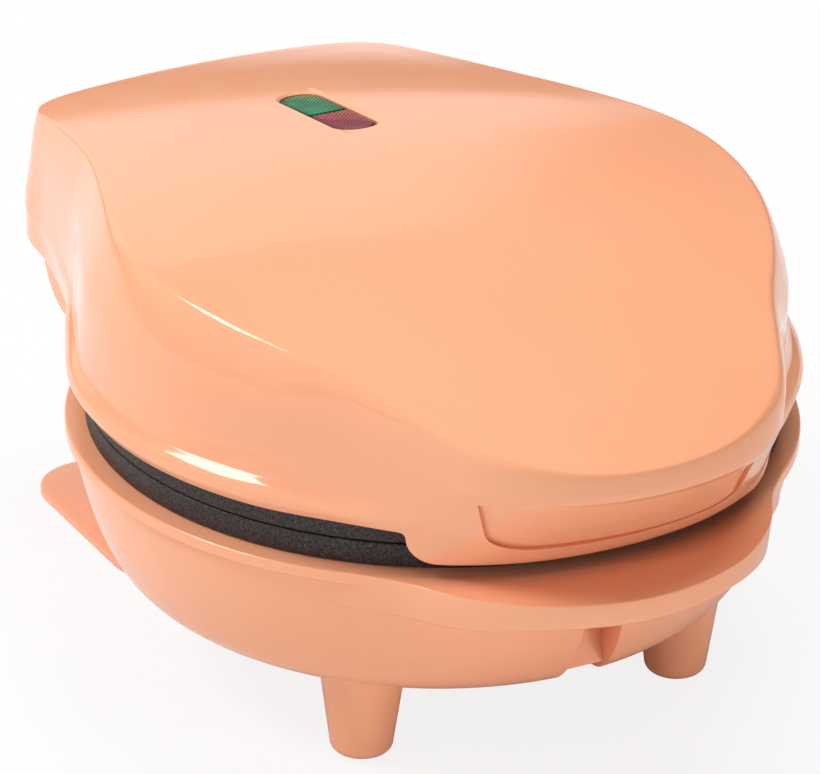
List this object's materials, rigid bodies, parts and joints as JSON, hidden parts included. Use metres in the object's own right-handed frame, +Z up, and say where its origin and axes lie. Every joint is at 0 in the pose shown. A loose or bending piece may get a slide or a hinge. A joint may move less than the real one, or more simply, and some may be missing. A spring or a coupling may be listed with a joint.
{
  "type": "mini waffle maker",
  "caption": "Round countertop waffle maker with a hinged domed lid, cast grid plates, a front lip, front legs and a flat rear foot.",
  "frame": {"origin": "on the table, under the middle of the object's whole width and length", "axes": "+Z up; +Y from the front lip and lid nose towards the hinge at the back; +X to the right seen from the front"},
  "size_m": [0.1826, 0.2504, 0.1246],
  "materials": {
    "shell_plastic": "glossy moulded plastic, warm peach",
    "coated_plate": "cast aluminium under a dark non-stick coating",
    "element_sheath": "dull steel sheath, slightly darkened by heat",
    "bright_steel": "plain bright steel sheet and screws",
    "pad_rubber": "matt dark rubber",
    "insulator": "ivory heat-proof plastic",
    "green_lens": "clear green lens, ribbed inside",
    "red_lens": "clear red lens, ribbed inside",
    "lamp_glass": "small clear glass lamp"
  },
  "bodies": {
    "base": {"base_shell": "shell_plastic", "rear_foot": "shell_plastic", "lower_cooking_plate": "coated_plate", "lower_heating_element": "element_sheath", "lower_heat_reflector": "bright_steel", "lower_element_strap_left": "bright_steel", "lower_element_strap_right": "bright_steel", "lower_strap_screw_left": "bright_steel", "lower_strap_screw_right": "bright_steel", "lower_plate_screw_back": "bright_steel", "lower_plate_screw_front_left": "bright_steel", "lower_plate_screw_front_right": "bright_steel", "thermostat": "element_sheath", "thermostat_strap": "bright_steel", "thermostat_screw_left": "bright_steel", "thermostat_screw_right": "bright_steel", "hinge_pin_left": "bright_steel", "hinge_pin_right": "bright_steel", "front_foot_pad_left": "pad_rubber", "front_foot_pad_right": "pad_rubber", "rear_foot_pad_left": "pad_rubber", "rear_foot_pad_right": "pad_rubber", "rear_foot_screw_left": "bright_steel", "rear_foot_screw_right": "bright_steel", "terminal_block": "insulator", "terminal_block_screw": "bright_steel", "cord_gland": "pad_rubber", "cord_clamp": "insulator", "cord_clamp_screw_left": "bright_steel", "cord_clamp_screw_right": "bright_steel"},
    "lid": {"lid_shell": "shell_plastic", "upper_cooking_plate": "coated_plate", "upper_heating_element": "element_sheath", "upper_heat_reflector": "bright_steel", "upper_element_strap_left": "bright_steel", "upper_element_strap_right": "bright_steel", "upper_strap_screw_left": "bright_steel", "upper_strap_screw_right": "bright_steel", "upper_plate_screw_front": "bright_steel", "upper_plate_screw_back_left": "bright_steel", "upper_plate_screw_back_right": "bright_steel", "thermal_fuse": "insulator", "fuse_strap": "bright_steel", "fuse_strap_screw": "bright_steel", "green_lamp_lens": "green_lens", "red_lamp_lens": "red_lens", "lamp_holder": "insulator", "green_neon_lamp": "lamp_glass", "red_neon_lamp": "lamp_glass"}
  },
  "joints": [
    {"name": "lid_hinge", "type": "hinge", "parent": "base", "child": "lid", "pos_m": [0, 0.09725, 0.0655], "axis": [-1, 0, 0], "range_deg": [0, 100]}
  ]
}
